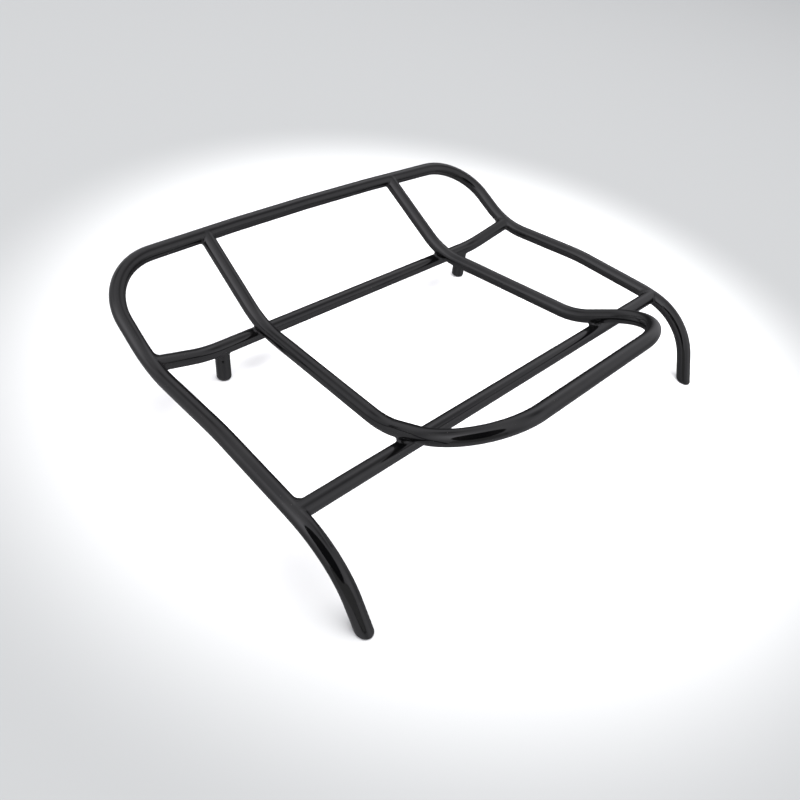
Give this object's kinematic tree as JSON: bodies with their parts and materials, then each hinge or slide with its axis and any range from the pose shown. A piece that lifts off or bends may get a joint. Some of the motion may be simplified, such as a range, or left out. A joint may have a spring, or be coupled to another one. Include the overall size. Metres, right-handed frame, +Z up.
{
  "type": "luggage rack",
  "caption": "Welded round-tube luggage rack for a motorcycle trunk lid: bent outer frame with two legs, raised inner loop, cross tubes and mounting posts.",
  "frame": {"origin": "under the middle of the rack's box, on the plane that the two leg feet and the two posts stand on", "axes": "+Z up; +X across the rack to its right side; +Y from the two bent legs towards the rear rail"},
  "size_m": [0.4556, 0.3572, 0.117],
  "materials": {
    "black_coat": "gloss black powder coat over steel tube and welds",
    "zinc_insert": "bright zinc plate on the threaded leg inserts"
  },
  "bodies": {
    "root": {"outer_frame": "black_coat", "inner_loop": "black_coat", "rear_cross_tube": "black_coat", "front_cross_tube": "black_coat", "left_post": "black_coat", "right_post": "black_coat", "left_loop_end_weld": "black_coat", "left_rear_cross_weld": "black_coat", "left_front_cross_weld": "black_coat", "left_post_weld": "black_coat", "left_loop_over_rear_weld": "black_coat", "left_loop_over_front_weld": "black_coat", "right_loop_end_weld": "black_coat", "right_rear_cross_weld": "black_coat", "right_front_cross_weld": "black_coat", "right_post_weld": "black_coat", "right_loop_over_rear_weld": "black_coat", "right_loop_over_front_weld": "black_coat", "left_leg_insert": "zinc_insert", "right_leg_insert": "zinc_insert"}
  },
  "joints": []
}
